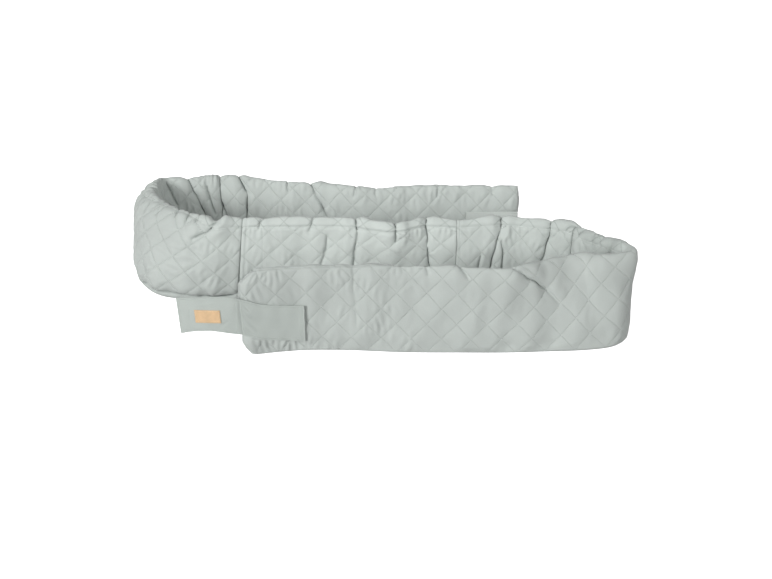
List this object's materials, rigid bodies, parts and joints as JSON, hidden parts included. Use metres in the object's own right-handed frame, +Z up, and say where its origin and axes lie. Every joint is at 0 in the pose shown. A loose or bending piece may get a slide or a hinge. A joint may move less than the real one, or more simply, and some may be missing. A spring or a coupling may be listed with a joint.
{
  "type": "baby nest",
  "caption": "Long stuffed, diamond-quilted cloth wall for a baby nest, standing on its edge in an S, with a closure strap and its patch.",
  "frame": {"origin": "middle of the footprint, on the surface that the wall stands on", "axes": "+X to the right along the runs, +Y to the back, +Z up"},
  "size_m": [1.5088, 0.7814, 0.2562],
  "materials": {
    "quilted_cloth": "matt quilted cotton",
    "strap_cloth": "matt plain-woven cotton",
    "label_leather": "smooth vegetable-tanned leather, bare"
  },
  "bodies": {
    "root": {"back_panel": "quilted_cloth", "left_bend_panel": "quilted_cloth", "middle_panel": "quilted_cloth", "front_panel": "quilted_cloth", "closure_strap": "strap_cloth", "closure_patch": "strap_cloth", "label": "label_leather"}
  },
  "joints": []
}
